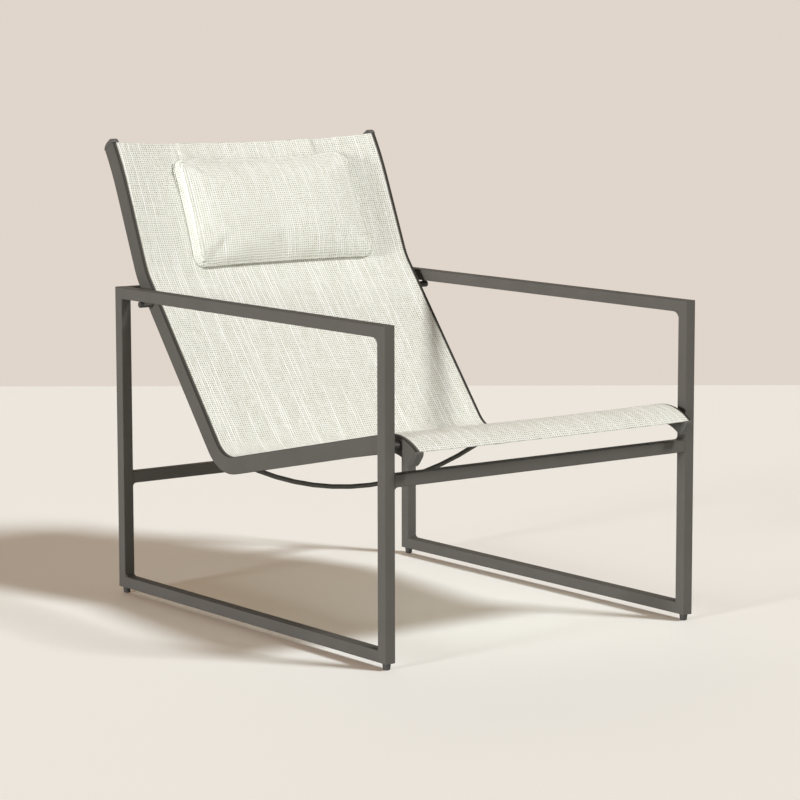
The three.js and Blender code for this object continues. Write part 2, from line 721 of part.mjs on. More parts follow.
// The flap: up the front of the sling from behind the pillow, over the top edge and down the back
function flap() {
  const xs = spread(-flapWidth / 2, flapWidth / 2, spanSegments);
  const from = pillowTopWay - flapTuck;
  const bends = railLine.filter((p) => p.way > from && p.way < slingTopWay);
  const front = [railAt(from), ...bends, railAt(slingTopWay)].map((p) => (x, out) =>
    pointOn(p, x, slingFront + layerGap + out - sagAt(p.way, x)));

  const top = railAt(slingTopWay);
  const turns = spread(top.heading + Math.PI / 2, 0, foldSegments).slice(1);
  const fold = turns.map((turn) => (x, out) => {
    const reach = slingThickness / 2 + layerGap + out;
    return edgeOfSling(x).addScaledVector(alongY, reach * Math.cos(turn))
      .addScaledVector(alongZ, reach * Math.sin(turn));
  });
  const hang = [flapCurvedShare, 1].map((share) => (x, out) => {
    const hem = edgeOfSling(0).setX(x);
    hem.z -= flapBack;
    const place = edgeOfSling(x).lerp(hem, share).setY(edgeOfSling(0).y);
    return place.addScaledVector(alongY, slingThickness / 2 + layerGap + out);
  });

  const rows = [...front, ...fold, ...hang];
  const backward = xs.toReversed();
  const rings = rows.map((place) => [
    ...xs.map((x) => place(x, flapThickness)),
    ...backward.map((x) => place(x, 0)),
  ]);
  const flat = (row) => {
    const out = row === 0 ? normalAt(railAt(from)) : alongY;
    return [rings[row].map((p) => point(p.dot(out), p.x))];
  };
  add("headrest_flap", bodyOver(rings, flat), slingCloth);
}

// The middle of the cloth on the sling's top edge
function edgeOfSling(x) {
  const out = slingBack + slingThickness / 2 - sagAt(slingTopWay, x);
  return pointOn(railAt(slingTopWay), x, out);
}

// The pocket behind the sling, with the tail that joins it to the flap, and the bar that weighs it
function weight() {
  const edge = edgeOfSling(0);
  const y = edge.y + slingThickness / 2 + 2 * layerGap + 1.5 * flapThickness;
  const top = edge.z - pocketFromTop;
  const along = (z, halfLength) => [-halfLength, halfLength].map((x) =>
    station(vector(x, y, z), alongY, alongZ));
  const depth = weightThickness + 2 * softGap;
  const loops = [
    rectangle(depth + 2 * pocketWall, pocketHeight, pocketRadius),
    rectangle(depth, pocketHeight - 2 * pocketWall, pocketRadius - pocketWall).reverse(),
  ];
  const sleeve = sweep(loops, along(top - pocketHeight / 2, flapWidth / 2));
  const tailLoop = [rectangle(flapThickness, pocketTail + bite, flapThickness / 4)];
  const tail = sweep(tailLoop, along(top + (pocketTail - bite) / 2, flapWidth / 2));
  add("weight_pocket", join(sleeve, tail), slingCloth);

  const barZ = top - pocketHeight + pocketWall + softGap + weightHeight / 2;
  const barLoop = [rectangle(weightThickness, weightHeight, weightEdgeRadius)];
  add("weight_bar", sweep(barLoop, along(barZ, flapWidth / 2 - weightInset)), zincSteel);
}

armFrames();
crossbar("front_crossbar", frontY, boltHeight - barUnderBolt, [1, -1]);
crossbar("rear_crossbar", rearY, rearBarHeight, [1, -1]);
crossbar("rear_top_crossbar", rearY, armZ, [-1]);
feet();
slingRails();
railCap("rail_front_cap", 0, -1, frontCapLength, frontCapRound, frontCapRound);
railCap("rail_top_cap", railEnd, 1, topCapLength, topCapFrontRound, topCapBackRound);
frontFixings();
backRod();
bowBar("seat_bow", seatBow);
bowBar("back_bow", backBow);
sling();
pillow();
flap();
weight();

// The origin lies on the floor in the middle of the chair's length
const part = new THREE.Group();
part.add(chair);
chair.position.y = -new THREE.Box3().setFromObject(chair).getCenter(vector(0, 0, 0)).y;

export default part;
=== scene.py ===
import math
import random

import bpy
import numpy as np
from mathutils import Matrix, Vector


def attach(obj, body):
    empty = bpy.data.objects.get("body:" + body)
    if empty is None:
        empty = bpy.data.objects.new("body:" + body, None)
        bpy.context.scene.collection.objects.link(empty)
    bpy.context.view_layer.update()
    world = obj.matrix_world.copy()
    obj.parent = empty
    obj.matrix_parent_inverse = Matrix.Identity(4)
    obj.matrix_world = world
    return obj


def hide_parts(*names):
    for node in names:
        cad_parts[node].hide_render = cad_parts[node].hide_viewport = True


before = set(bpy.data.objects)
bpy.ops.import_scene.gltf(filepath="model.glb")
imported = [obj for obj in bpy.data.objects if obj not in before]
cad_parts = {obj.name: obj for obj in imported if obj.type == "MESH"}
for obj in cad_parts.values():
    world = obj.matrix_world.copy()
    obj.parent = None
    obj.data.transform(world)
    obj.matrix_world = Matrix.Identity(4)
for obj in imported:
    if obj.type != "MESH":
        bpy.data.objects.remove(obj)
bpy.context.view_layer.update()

print("frame loaded")

# Camera, at the photo's viewing angle
cameraView = {
    "place": (-3.3065, -4.4551, 1.13915),
    "turn": 0.64205,  # radians from +Y toward +X
    "down": 0.13471,
    "roll": -0.00168,
    "lens": 134.77,
    "sensorWidth": 36,
}


def makeCamera():
    turn, down, roll = (cameraView[key] for key in ("turn", "down", "roll"))
    forward = Vector((math.sin(turn) * math.cos(down), math.cos(turn) * math.cos(down), -math.sin(down)))
    level = Vector((math.cos(turn), -math.sin(turn), 0))
    upward = level.cross(forward)
    across = level * math.cos(roll) + upward * math.sin(roll)
    upright = upward * math.cos(roll) - level * math.sin(roll)
    data = bpy.data.cameras.new("camera")
    data.lens = cameraView["lens"]
    data.sensor_width = cameraView["sensorWidth"]
    camera = bpy.data.objects.new("camera", data)
    bpy.context.scene.collection.objects.link(camera)
    axes = Matrix((across, upright, -forward)).transposed().to_4x4()
    camera.matrix_world = Matrix.Translation(cameraView["place"]) @ axes
    bpy.context.scene.camera = camera


# Lights: direction toward the lamp, level on a surface that faces it, and softness
lamps = {
    "sideLight": {"toward": (-0.98, -0.12, 0.12), "level": 0.8, "softDegrees": 12, "color": (1, 1, 1)},
    "topLight": {"toward": (0.354, -0.575, 0.737), "level": 0.73, "softDegrees": 12, "color": (1, 1, 1)},
    "backLight": {"toward": (0.35, 0.85, 0.4), "level": 0.15, "softDegrees": 50, "color": (1, 0.8, 0.6)},
}
surroundings = {
    "level": 0.18,
    "lightColor": (1, 0.8, 0.62),
    "backdropColor": (0.745, 0.67, 0.6),
    "floorColor": (0.865, 0.915, 0.91),
    "glowColor": (1, 0.35, 0),
    "floorGlow": 0.075,  # what the camera sees of the floor over its own light
    "floorBehind": 3.17,  # from the chair to the floor's far edge, as the camera looks
    "floorSize": 14,
    "floorRoughness": 0.9,
    "floorSpecular": 0.1,
}


def makeLights():
    for name, look in lamps.items():
        data = bpy.data.lights.new(name, "SUN")
        data.energy = look["level"] * math.pi
        data.angle = math.radians(look["softDegrees"])
        data.color = look["color"]
        lamp = bpy.data.objects.new(name, data)
        bpy.context.scene.collection.objects.link(lamp)
        lamp.rotation_euler = Vector(look["toward"]).to_track_quat("Z", "Y").to_euler()


def link(tree, source, target):
    tree.links.new(source, target)


def feed(tree, value, socket):
    # A link, a number or a color
    if isinstance(value, bpy.types.NodeSocket):
        link(tree, value, socket)
    elif isinstance(value, (int, float)):
        socket.default_value = value
    else:
        socket.default_value = (*value, 1)


def seenByCamera(tree):
    # 1 for what the eye sees, also in metal and through glass
    path = tree.nodes.new("ShaderNodeLightPath")
    first = calc(tree, "MAXIMUM", path.outputs["Is Camera Ray"], path.outputs["Is Glossy Ray"])
    return calc(tree, "MAXIMUM", first, path.outputs["Is Transmission Ray"])


def makeWorld():
    world = bpy.data.worlds.new("surroundings")
    bpy.context.scene.world = world
    world.use_nodes = True
    tree = world.node_tree
    tree.nodes.clear()
    lit = tree.nodes.new("ShaderNodeBackground")
    lit.inputs["Color"].default_value = (*surroundings["lightColor"], 1)
    lit.inputs["Strength"].default_value = surroundings["level"]
    seen = tree.nodes.new("ShaderNodeBackground")
    seen.inputs["Color"].default_value = (*surroundings["backdropColor"], 1)
    mix = tree.nodes.new("ShaderNodeMixShader")
    output = tree.nodes.new("ShaderNodeOutputWorld")
    link(tree, seenByCamera(tree), mix.inputs[0])
    link(tree, lit.outputs[0], mix.inputs[1])
    link(tree, seen.outputs[0], mix.inputs[2])
    link(tree, mix.outputs[0], output.inputs[0])


def makeFloor():
    look = surroundings
    size, far = look["floorSize"], look["floorBehind"]
    corners = [(-size, far - size, 0), (size, far - size, 0), (size, far, 0), (-size, far, 0)]
    floor = meshObject("floor", corners, [(0, 1, 2, 3)], smooth=False)
    floor.rotation_euler.z = -cameraView["turn"]
    finish = (look["floorRoughness"], look["floorSpecular"])
    material, tree, shader = newMaterial("floorPlaster", *finish)
    feed(tree, look["floorColor"], shader.inputs["Base Color"])
    feed(tree, look["glowColor"], shader.inputs["Emission Color"])
    glow = calc(tree, "MULTIPLY", seenByCamera(tree), look["floorGlow"])
    link(tree, glow, shader.inputs["Emission Strength"])
    floor.data.materials.append(material)


# Shader helpers
def calc(tree, operation, *values):
    node = tree.nodes.new("ShaderNodeMath")
    node.operation = operation
    for socket, value in zip(node.inputs, values):
        feed(tree, value, socket)
    return node.outputs[0]


def ramp(tree, value, low, high, toLow=0.0, toHigh=1.0):
    # A soft step from low to high
    node = tree.nodes.new("ShaderNodeMapRange")
    node.interpolation_type = "SMOOTHSTEP"
    link(tree, value, node.inputs["Value"])
    for key, number in (("From Min", low), ("From Max", high), ("To Min", toLow), ("To Max", toHigh)):
        node.inputs[key].default_value = number
    return node.outputs[0]


def noise(tree, place, scale, detail=2.0, roughness=0.5):
    # scale is a number, or three numbers of turns per metre along each axis
    if not isinstance(scale, (int, float)):
        stretch = tree.nodes.new("ShaderNodeVectorMath")
        stretch.operation = "MULTIPLY"
        link(tree, place, stretch.inputs[0])
        stretch.inputs[1].default_value = scale
        place, scale = stretch.outputs[0], 1
    node = tree.nodes.new("ShaderNodeTexNoise")
    node.inputs["Scale"].default_value = scale
    node.inputs["Detail"].default_value = detail
    node.inputs["Roughness"].default_value = roughness
    link(tree, place, node.inputs["Vector"])
    return node.outputs["Fac"]


def mixColor(tree, share, first, second):
    node = tree.nodes.new("ShaderNodeMix")
    node.data_type = "RGBA"
    for value, number in ((share, 0), (first, 6), (second, 7)):
        feed(tree, value, node.inputs[number])
    return node.outputs[2]


def shaderGroup(name, inputs, outputs):
    tree = bpy.data.node_groups.new(name, "ShaderNodeTree")
    for title, kind, value in inputs:
        socket = tree.interface.new_socket(name=title, in_out="INPUT", socket_type="NodeSocket" + kind)
        if value is not None:
            socket.default_value = value
    for title, kind in outputs:
        tree.interface.new_socket(name=title, in_out="OUTPUT", socket_type="NodeSocket" + kind)
    return tree, tree.nodes.new("NodeGroupInput").outputs, tree.nodes.new("NodeGroupOutput").inputs


def placeGroup(tree, group, **values):
    node = tree.nodes.new("ShaderNodeGroup")
    node.node_tree = group
    for key, value in values.items():
        feed(tree, value, node.inputs[key.replace("_", " ")])
    return node.outputs


def bump(tree, height, strength, distance):
    node = tree.nodes.new("ShaderNodeBump")
    node.inputs["Strength"].default_value = strength
    node.inputs["Distance"].default_value = distance
    link(tree, height, node.inputs["Height"])
    return node.outputs[0]


def newMaterial(name, roughness, specular=0.5):
    material = bpy.data.materials.new(name)
    material.use_nodes = True
    shader = material.node_tree.nodes["Principled BSDF"]
    shader.inputs["Roughness"].default_value = roughness
    shader.inputs["Specular IOR Level"].default_value = specular
    return material, material.node_tree, shader


# Effects that several finishes share. Scales and turns are per metre, and pairs are a noise's soft step.
weaveShape = {
    "wanderScale": (38, 16, 1),
    "drift": 1.2,  # how far yarns wander, in pitches
    "wave": 0.3,  # how far a yarn rises over the others and dips under them
    "holeBlur": 0.2,
    "unevenScale": (210, 190, 1),
    "unevenFrom": (0.3, 0.6),
    "leastHole": 0.4,
    "yarnStep": 3.7,  # from one yarn's noise to the next one's
    "thickTurns": 3.5,  # slubs along the cloth
    "thickFrom": (0.52, 0.64),
    "thickSides": (0.4, 0.8),
    "levelTurns": 14,  # fainter ones across it
    "levelFrom": (0.6, 0.74),
    "levelShare": 0.3,
    "patchScale": (34, 20, 1),
    "patchFrom": (0.6, 0.8),
    "patchShare": 0.45,
    "toneTurns": 30,
}


def makeMeshWeave():
    # Coated yarns that cross with a small hole between them, and thicker slubs along the cloth
    shape = weaveShape
    group, given, gives = shaderGroup(
        "meshWeave",
        [("Cloth Place", "Vector", None), ("Pitch Across", "Float", clothLook["pitchAcross"]),
         ("Pitch Along", "Float", clothLook["pitchAlong"]), ("Hole Size", "Float", clothLook["holeSize"])],
        [("Holes", "Float"), ("Threads", "Float"), ("Slubs", "Float"), ("Tone", "Float")],
    )
    place = given["Cloth Place"]

    def do(operation, *values):
        return calc(group, operation, *values)

    wander = noise(group, place, shape["wanderScale"], 2.0, 0.6)
    apart = group.nodes.new("ShaderNodeSeparateXYZ")
    link(group, place, apart.inputs[0])
    drift = do("MULTIPLY", do("SUBTRACT", wander, 0.5), shape["drift"])
    across = do("ADD", do("DIVIDE", apart.outputs["X"], given["Pitch Across"]), drift)
    along = do("ADD", do("DIVIDE", apart.outputs["Y"], given["Pitch Along"]), drift)

    def fromYarn(turns):  # 0 in the middle of a yarn, 1 between two
        return do("ABSOLUTE", do("SUBTRACT", do("MULTIPLY", do("FRACT", turns), 2), 1))

    def rounded(distance, level):
        left = do("SUBTRACT", 1, do("MULTIPLY", distance, distance))
        return do("MULTIPLY", do("SQRT", do("MAXIMUM", left, 0)), level)

    warp, weft = fromYarn(across), fromYarn(along)
    crossing = do("MULTIPLY", do("SINE", do("MULTIPLY", across, math.pi)),
                  do("SINE", do("MULTIPLY", along, math.pi)))
    over = do("MULTIPLY_ADD", crossing, shape["wave"], 1 - shape["wave"])
    under = do("MULTIPLY_ADD", crossing, -shape["wave"], 1 - shape["wave"])
    threads = do("MAXIMUM", rounded(warp, over), rounded(weft, under))
    edge = do("SUBTRACT", 1, given["Hole Size"])

    def gap(distance):
        return ramp(group, do("SUBTRACT", distance, edge), -shape["holeBlur"], shape["holeBlur"])

    spots = noise(group, place, shape["unevenScale"], 1.0)
    uneven = ramp(group, spots, *shape["unevenFrom"], shape["leastHole"])
    open_ = do("MULTIPLY", do("MULTIPLY", gap(warp), gap(weft)), uneven)
    link(group, open_, gives["Holes"])
    link(group, threads, gives["Threads"])

    def alongYarns(turns, way, perMetre):  # noise that is the same over a yarn's width
        spot = group.nodes.new("ShaderNodeCombineXYZ")
        link(group, do("MULTIPLY", do("FLOOR", turns), shape["yarnStep"]), spot.inputs["X"])
        link(group, do("MULTIPLY", way, perMetre), spot.inputs["Y"])
        return noise(group, spot.outputs[0], 1, 1.0)

    thick = ramp(group, alongYarns(across, apart.outputs["Y"], shape["thickTurns"]), *shape["thickFrom"])
    slim = do("SUBTRACT", 1, ramp(group, warp, *shape["thickSides"]))
    crosswise = alongYarns(along, apart.outputs["X"], shape["levelTurns"])
    level = ramp(group, crosswise, *shape["levelFrom"], 0, shape["levelShare"])
    clouds = noise(group, place, shape["patchScale"], 2.0, 0.55)
    patch = ramp(group, clouds, *shape["patchFrom"], 0, shape["patchShare"])
    slubs = do("MAXIMUM", do("MULTIPLY", thick, slim), level)
    link(group, do("MAXIMUM", slubs, patch), gives["Slubs"])
    link(group, alongYarns(across, apart.outputs["Y"], shape["toneTurns"]), gives["Tone"])
    return group


grainShape = {"cloudScale": 14, "rubScale": (160, 22, 22), "rubFrom": (0.6, 0.8), "scale": 900.0}


def makePowderGrain():
    # Fine pitted coat with faint rubbed streaks along the tube
    group, given, gives = shaderGroup(
        "powderGrain",
        [("Place", "Vector", None), ("Grain Scale", "Float", grainShape["scale"])],
        [("Grain", "Float"), ("Cloud", "Float"), ("Rub", "Float")],
    )
    place = given["Place"]
    node = group.nodes.new("ShaderNodeTexNoise")
    node.inputs["Detail"].default_value = 3
    link(group, place, node.inputs["Vector"])
    link(group, given["Grain Scale"], node.inputs["Scale"])
    link(group, node.outputs["Fac"], gives["Grain"])
    link(group, noise(group, place, grainShape["cloudScale"], 3.0, 0.6), gives["Cloud"])
    rub = noise(group, place, grainShape["rubScale"], 3.0, 0.65)
    link(group, ramp(group, rub, *grainShape["rubFrom"]), gives["Rub"])
    return group


def clothPlace(tree):
    node = tree.nodes.new("ShaderNodeUVMap")
    node.uv_map = "cloth"
    return node.outputs[0]


def objectPlace(tree):
    return tree.nodes.new("ShaderNodeTexCoord").outputs["Object"]


clothLook = {
    "yarnColor": (0.845, 0.86, 0.81),
    "slubColor": (0.96, 0.97, 0.94),
    "shadeColor": (0.8, 0.815, 0.745),
    # paintedHoleShadeColor: painted shade in the weave's holes, which this opaque sheet keeps closed
    "paintedHoleShadeColor": (0.2, 0.19, 0.08),
    "pitchAcross": 0.0048,
    "pitchAlong": 0.0045,
    "holeSize": 0.48,
    "paintedGrooveShadeColor": (0.07, 0.065, 0.055),  # painted shade where it dips into the rails' grooves
    "paintedGrooveShadeFrom": (0.3025, 0.3045),
    "toneFrom": (0.35, 0.75),
    "holeTone": (0.2, 0.7, 0.7),  # holes of pale yarns are fainter
    "slubShut": 0.75,  # how far a slub closes the holes
    "slubRise": 0.5,
    "bump": (0.7, 0.00035),  # strength and depth, here and below
    "roughness": 0.82,
    "specular": 0.25,
    "sheen": 0.08,
}


def clothMaterial(name, weave, tint=1.0, paintGrooveShade=False):
    look = clothLook
    material, tree, shader = newMaterial(name, look["roughness"], look["specular"])
    shader.inputs["Sheen Weight"].default_value = look["sheen"]
    shader.inputs["Sheen Roughness"].default_value = 0.5
    place = clothPlace(tree)
    woven = placeGroup(tree, weave, Cloth_Place=place, Pitch_Across=look["pitchAcross"],
                       Pitch_Along=look["pitchAlong"], Hole_Size=look["holeSize"])
    shade = [value * tint for value in look["shadeColor"]]
    pale = [value * tint for value in look["yarnColor"]]
    yarn = mixColor(tree, ramp(tree, woven["Tone"], *look["toneFrom"]), pale, shade)
    slubbed = mixColor(tree, woven["Slubs"], yarn, look["slubColor"])
    open_ = calc(tree, "MULTIPLY", woven["Holes"], ramp(tree, woven["Tone"], *look["holeTone"]))
    shut = calc(tree, "SUBTRACT", 1, calc(tree, "MULTIPLY", woven["Slubs"], look["slubShut"]))
    # Painted shade in the holes, standing in for the dark seen through a real open mesh
    color = mixColor(tree, calc(tree, "MULTIPLY", open_, shut), slubbed, look["paintedHoleShadeColor"])
    # Painted shade: the cloth's outer strips turn near-black where they go into the rails' grooves
    if paintGrooveShade:
        apart = tree.nodes.new("ShaderNodeSeparateXYZ")
        link(tree, place, apart.inputs[0])
        paintedGrooveShadeMask = ramp(tree, calc(tree, "ABSOLUTE", apart.outputs["X"]), *look["paintedGrooveShadeFrom"])
        color = mixColor(tree, paintedGrooveShadeMask, color, look["paintedGrooveShadeColor"])
    link(tree, color, shader.inputs["Base Color"])
    raised = calc(tree, "MULTIPLY", woven["Slubs"], look["slubRise"])
    height = calc(tree, "ADD", woven["Threads"], raised)
    link(tree, bump(tree, height, *look["bump"]), shader.inputs["Normal"])
    return material


# paintedTopShade: how strongly painted shade darkens each paint's upward faces
paintLooks = {
    "framePaint": {"color": (0.108, 0.101, 0.092), "worn": (0.15, 0.142, 0.13), "roughness": 0.7,
                   "paintedTopShade": 0.35},
    "railPaint": {"color": (0.1, 0.094, 0.085), "worn": (0.15, 0.142, 0.13), "roughness": 0.66,
                  "paintedTopShade": 0.75},
}
paintCoat = {
    "specular": 0.05,
    "grainScale": 1100.0,
    "cloud": 0.14,  # share by which clouds lighten and darken it
    "speckle": 0.3,
    "rub": 0.35,
    "paintedTopShadeFrom": (0.1, 0.8),  # painted shade on upward faces, by how far a face looks up
    "paintedTopShadeColor": (0.02, 0.019, 0.017),
    "roughSpread": 0.16,
    "bump": (0.25, 0.0002),
}


def paintMaterial(name, grain):
    look = paintLooks[name]
    material, tree, shader = newMaterial(name, look["roughness"], paintCoat["specular"])
    coat = placeGroup(tree, grain, Place=objectPlace(tree), Grain_Scale=paintCoat["grainScale"])
    dark, pale = ([value * (1 + paintCoat["cloud"] * way) for value in look["color"]] for way in (-1, 1))
    clouded = mixColor(tree, coat["Cloud"], dark, pale)
    speckle = calc(tree, "MULTIPLY", coat["Grain"], paintCoat["speckle"])
    speckled = mixColor(tree, speckle, clouded, look["worn"])
    rubbed = mixColor(tree, calc(tree, "MULTIPLY", coat["Rub"], paintCoat["rub"]), speckled, look["worn"])
    # Painted shade: faces that look up are darkened toward near-black, more the further up they look
    facing = tree.nodes.new("ShaderNodeSeparateXYZ")
    link(tree, tree.nodes.new("ShaderNodeNewGeometry").outputs["Normal"], facing.inputs[0])
    paintedTopShade = ramp(tree, facing.outputs["Z"], *paintCoat["paintedTopShadeFrom"], 0, look["paintedTopShade"])
    link(tree, mixColor(tree, paintedTopShade, rubbed, paintCoat["paintedTopShadeColor"]), shader.inputs["Base Color"])
    spread = paintCoat["roughSpread"]
    rough = calc(tree, "MULTIPLY_ADD", coat["Grain"], spread, look["roughness"] - spread / 2)
    link(tree, rough, shader.inputs["Roughness"])
    link(tree, bump(tree, coat["Grain"], *paintCoat["bump"]), shader.inputs["Normal"])
    return material


plasticLooks = {
    "capPlastic": {"color": (0.07, 0.066, 0.06), "pale": (0.1, 0.095, 0.088), "roughness": 0.5},
    "blackPlastic": {"color": (0.02, 0.019, 0.018), "pale": (0.04, 0.038, 0.036), "roughness": 0.5},
    "footNylon": {"color": (0.042, 0.04, 0.038), "pale": (0.085, 0.08, 0.075), "roughness": 0.6},
    "cordPlastic": {"color": (0.7, 0.7, 0.62), "pale": (0.78, 0.78, 0.72), "roughness": 0.5},
}
plasticSkin = {"specular": 0.45, "grainScale": 1600.0, "cloud": 0.5, "bump": (0.2, 0.00012)}


def plasticMaterial(name, grain):
    look = plasticLooks[name]
    material, tree, shader = newMaterial(name, look["roughness"], plasticSkin["specular"])
    skin = placeGroup(tree, grain, Place=objectPlace(tree), Grain_Scale=plasticSkin["grainScale"])
    cloud = calc(tree, "MULTIPLY", skin["Cloud"], plasticSkin["cloud"])
    mottled = mixColor(tree, cloud, look["color"], look["pale"])
    link(tree, mixColor(tree, skin["Rub"], mottled, look["pale"]), shader.inputs["Base Color"])
    link(tree, bump(tree, skin["Grain"], *plasticSkin["bump"]), shader.inputs["Normal"])
    return material


zincLook = {
    "color": (0.62, 0.62, 0.6),
    "dull": (0.4, 0.4, 0.38),
    "grainScale": 700.0,
    "roughness": (0.25, 0.5),
    "bump": (0.12, 0.0001),
}


def zincMaterial(grain):
    least, most = zincLook["roughness"]
    material, tree, shader = newMaterial("zincPlate", least)
    shader.inputs["Metallic"].default_value = 1
    skin = placeGroup(tree, grain, Place=objectPlace(tree), Grain_Scale=zincLook["grainScale"])
    color = mixColor(tree, skin["Cloud"], zincLook["color"], zincLook["dull"])
    link(tree, color, shader.inputs["Base Color"])
    rough = calc(tree, "MULTIPLY_ADD", skin["Grain"], most - least, least)
    link(tree, rough, shader.inputs["Roughness"])
    link(tree, bump(tree, skin["Grain"], *zincLook["bump"]), shader.inputs["Normal"])
    return material


threadLook = {
    "length": 0.0032,
    "space": 0.0012,
    "radius": 0.00026,
    "sides": 5,
    "shoulders": (0.2, 0.8),  # full thickness between these shares of its length
    "rise": 0.4,  # of its middle over the cloth, in radii
    "roughness": 0.75,
    "specular": 0.3,
    "dark": (0.6, 0.6, 0.5),
    "pale": (0.84, 0.84, 0.76),
    "twistScale": 2600,
    "bump": (0.4, 0.0001),
}


def threadMaterial():
    material, tree, shader = newMaterial("sewingThread", threadLook["roughness"], threadLook["specular"])
    twist = noise(tree, objectPlace(tree), threadLook["twistScale"], 1.0)
    link(tree, mixColor(tree, twist, threadLook["dark"], threadLook["pale"]), shader.inputs["Base Color"])
    link(tree, bump(tree, twist, *threadLook["bump"]), shader.inputs["Normal"])
    return material


# Mesh helpers
def meshObject(name, points, faces, smooth=True, material=None, places=None):
    # places gives each point its place on the flat cloth, in metres
    mesh = bpy.data.meshes.new(name)
    mesh.from_pydata([tuple(p) for p in points], [], faces)
    if places is not None:
        layer = mesh.uv_layers.new(name="cloth")
        corners = np.zeros(len(mesh.loops), np.int32)
        mesh.loops.foreach_get("vertex_index", corners)
        layer.data.foreach_set("uv", np.asarray(places, np.float32)[corners].ravel())
    if smooth:
        mesh.polygons.foreach_set("use_smooth", [True] * len(mesh.polygons))
    if material is not None:
        mesh.materials.append(material)
    mesh.validate()
    piece = bpy.data.objects.new(name, mesh)
    bpy.context.scene.collection.objects.link(piece)
    return piece


def clothStrip(name, rows, places, thickness, material):
    # A closed sheet over rows of (place, outward) pairs, thickness to each side of the middle
    count, width = len(rows), len(rows[0])
    points, spots = [], []
    for side in (1, -1):
        for row, spotRow in zip(rows, places):
            for (place, outward), spot in zip(row, spotRow):
                points.append(place + outward * (side * thickness / 2))
                spots.append(spot)
    faces = []
    other = count * width
    for i in range(count - 1):
        for j in range(width - 1):
            a = i * width + j
            faces.append((a, a + 1, a + width + 1, a + width))
            faces.append((other + a, other + a + width, other + a + width + 1, other + a + 1))
    for i in range(count - 1):
        for j, turn in ((0, 1), (width - 1, -1)):
            a, b = i * width + j, (i + 1) * width + j
            faces.append((a, b, b + other, a + other)[::turn])
    for j in range(width - 1):
        for i, turn in ((0, -1), (count - 1, 1)):
            a, b = i * width + j, i * width + j + 1
            faces.append((a, b, b + other, a + other)[::turn])
    return meshObject(name, points, faces, True, material, spots)


def stitchRow(name, path, material):
    # Short stitches along a path of (place, outward) pairs, each a slim spindle on the cloth
    points, faces = [], []
    walked = 0.0
    steps = [0.0]
    for (a, _), (b, _) in zip(path, path[1:]):
        walked += (b - a).length
        steps.append(walked)
    pitch = threadLook["length"] + threadLook["space"]

    def at(way):
        i = min(max(int(np.searchsorted(steps, way)), 1), len(path) - 1)
        share = (way - steps[i - 1]) / max(steps[i] - steps[i - 1], 1e-9)
        return path[i - 1][0].lerp(path[i][0], share), path[i - 1][1].lerp(path[i][1], share)

    radius, sides = threadLook["radius"], threadLook["sides"]
    for k in range(int(walked / pitch)):
        start = k * pitch + threadLook["space"] / 2
        first, outward = at(start)
        last, _ = at(start + threadLook["length"])
        along = (last - first).normalized()
        side = along.cross(outward).normalized()
        base = len(points)
        points.append(first - outward * radius)
        for share in threadLook["shoulders"]:
            middle = first.lerp(last, share) + outward * radius * threadLook["rise"]
            for s in range(sides):
                turn = 2 * math.pi * s / sides
                points.append(middle + (side * math.cos(turn) + outward * math.sin(turn)) * radius)
        points.append(last - outward * radius)
        end = base + 1 + 2 * sides
        for s in range(sides):
            n = (s + 1) % sides
            faces.append((base, base + 1 + n, base + 1 + s))
            faces.append((base + 1 + s, base + 1 + n, base + 1 + sides + n, base + 1 + sides + s))
            faces.append((base + 1 + sides + s, base + 1 + sides + n, end))
    return meshObject(name, points, faces, True, material)


def ripple(x, y, seed):
    # Smooth noise from a few sines, the same each run
    picks = random.Random(seed)
    total = 0.0
    for _ in range(6):
        fx, fy, phase = picks.uniform(0.5, 1.7), picks.uniform(0.5, 1.7), picks.uniform(0, 6.28)
        total += math.sin(x * fx + y * fy * picks.choice((-1, 1)) + phase)
    return total / 6


# The sling rails' middle line, as the frame has it, in metres
railShape = {
    "depth": 0.032,
    "innerX": 0.2965,
    "slotX": 0.3072,
    "boltY": -0.44703,  # the front bolt, by which the line hangs
    "boltZ": 0.382,
    "noseToBolt": 0.0374,
    "noseDrop": 37.8,
    "noseRadius": 0.095,
    "seatFall": 11.8,
    "seatLength": 0.4757,
    "hipRadius": 0.073,
    "lowerLean": 38.7,
    "lowerLength": 0.3668,
    "bendRadius": 0.131,
    "upperLean": 23.1,
    "upperLength": 0.153,
    "headRadius": 0.63,
    "headLean": 31.6,
    "straightStep": 0.004,
    "bendStep": 0.003,
    "noseRows": 40,  # enough to reach past the bolt
}


